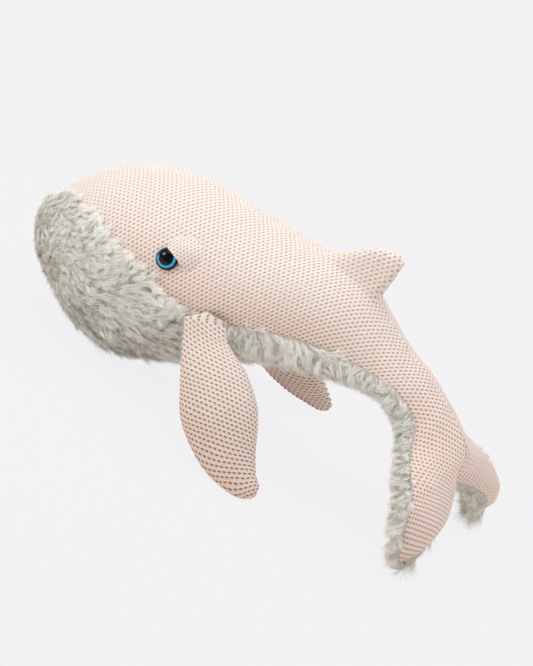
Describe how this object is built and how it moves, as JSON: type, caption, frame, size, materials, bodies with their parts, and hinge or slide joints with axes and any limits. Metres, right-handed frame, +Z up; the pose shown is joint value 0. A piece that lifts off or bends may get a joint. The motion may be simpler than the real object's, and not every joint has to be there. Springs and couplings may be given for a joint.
{
  "type": "plush whale",
  "caption": "Stuffed knit and fur whale with domed eyes, a dorsal fin, tail flukes and two flippers that swing on their sewn roots.",
  "frame": {"origin": "on the surface that the whale rests on, under the middle of its bounding box", "axes": "+X from the head to the tail, +Y to the whale's right side, +Z up"},
  "size_m": [0.5008, 0.2823, 0.2315],
  "materials": {
    "knit": "thick cream and pink honeycomb knit with small tan holes",
    "fur": "long grey pile in soft wavy tufts",
    "stuffing": "white polyester fibre",
    "black_plastic": "glossy black",
    "iris": "glossy blue, darker at the top",
    "lens": "clear polished acrylic",
    "washer": "plain white"
  },
  "bodies": {
    "whale": {"back_panel_left": "knit", "back_panel_right": "knit", "eyelid_left": "knit", "eyelid_right": "knit", "chin_panel": "fur", "belly_panel": "fur", "fluke_underside_left": "fur", "fluke_underside_right": "fur", "head_stuffing": "stuffing", "body_stuffing": "stuffing", "tail_stuffing": "stuffing", "dorsal_fin_stuffing": "stuffing", "fluke_stuffing_left": "stuffing", "fluke_stuffing_right": "stuffing", "eyelid_wadding_left": "stuffing", "eyelid_wadding_right": "stuffing", "eye_cup_left": "black_plastic", "eye_cup_right": "black_plastic", "eye_pupil_left": "black_plastic", "eye_pupil_right": "black_plastic", "eye_iris_left": "iris", "eye_iris_right": "iris", "eye_lens_left": "lens", "eye_lens_right": "lens", "eye_washer_left": "washer", "eye_washer_right": "washer"},
    "flipper_left": {"flipper_outer_left": "knit", "flipper_inner_left": "knit", "flipper_stuffing_left": "stuffing"},
    "flipper_right": {"flipper_outer_right": "knit", "flipper_inner_right": "knit", "flipper_stuffing_right": "stuffing"}
  },
  "joints": [
    {"name": "flipper_left_root", "type": "hinge", "parent": "whale", "child": "flipper_left", "pos_m": [-0.0342, -0.084, 0.1076], "axis": [-0.9488, -0.1701, -0.2662], "range_deg": [-5, 55]},
    {"name": "flipper_right_root", "type": "hinge", "parent": "whale", "child": "flipper_right", "pos_m": [-0.0342, 0.084, 0.1076], "axis": [0.9488, -0.1701, 0.2662], "range_deg": [-5, 30]}
  ]
}
